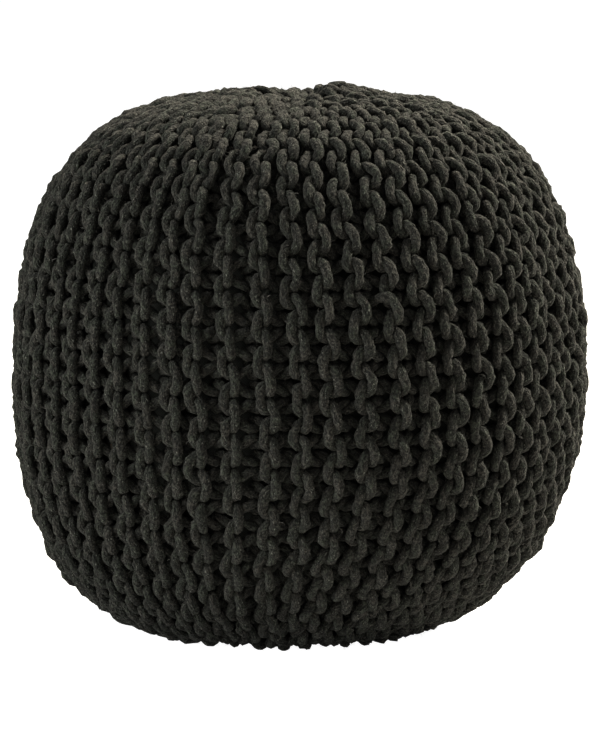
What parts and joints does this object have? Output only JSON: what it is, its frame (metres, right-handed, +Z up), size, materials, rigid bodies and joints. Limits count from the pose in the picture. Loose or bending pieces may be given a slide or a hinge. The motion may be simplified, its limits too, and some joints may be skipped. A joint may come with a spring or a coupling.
{
  "type": "knitted rope pouf",
  "caption": "Round filled floor pouf with a cover knitted in thick cotton rope, its ridges running from the gathered crown to a flat base.",
  "frame": {"origin": "middle of the pouf's box, on the surface it stands on", "axes": "+Z up through the gathered crown, +X to the right as seen from the front, -Y towards the viewer"},
  "size_m": [0.4066, 0.4052, 0.38],
  "materials": {
    "knitted_pouf": "matt charcoal cotton rope, heathered, knitted in garter stitch"
  },
  "bodies": {
    "root": {"knitted_pouf": "knitted_pouf"}
  },
  "joints": []
}
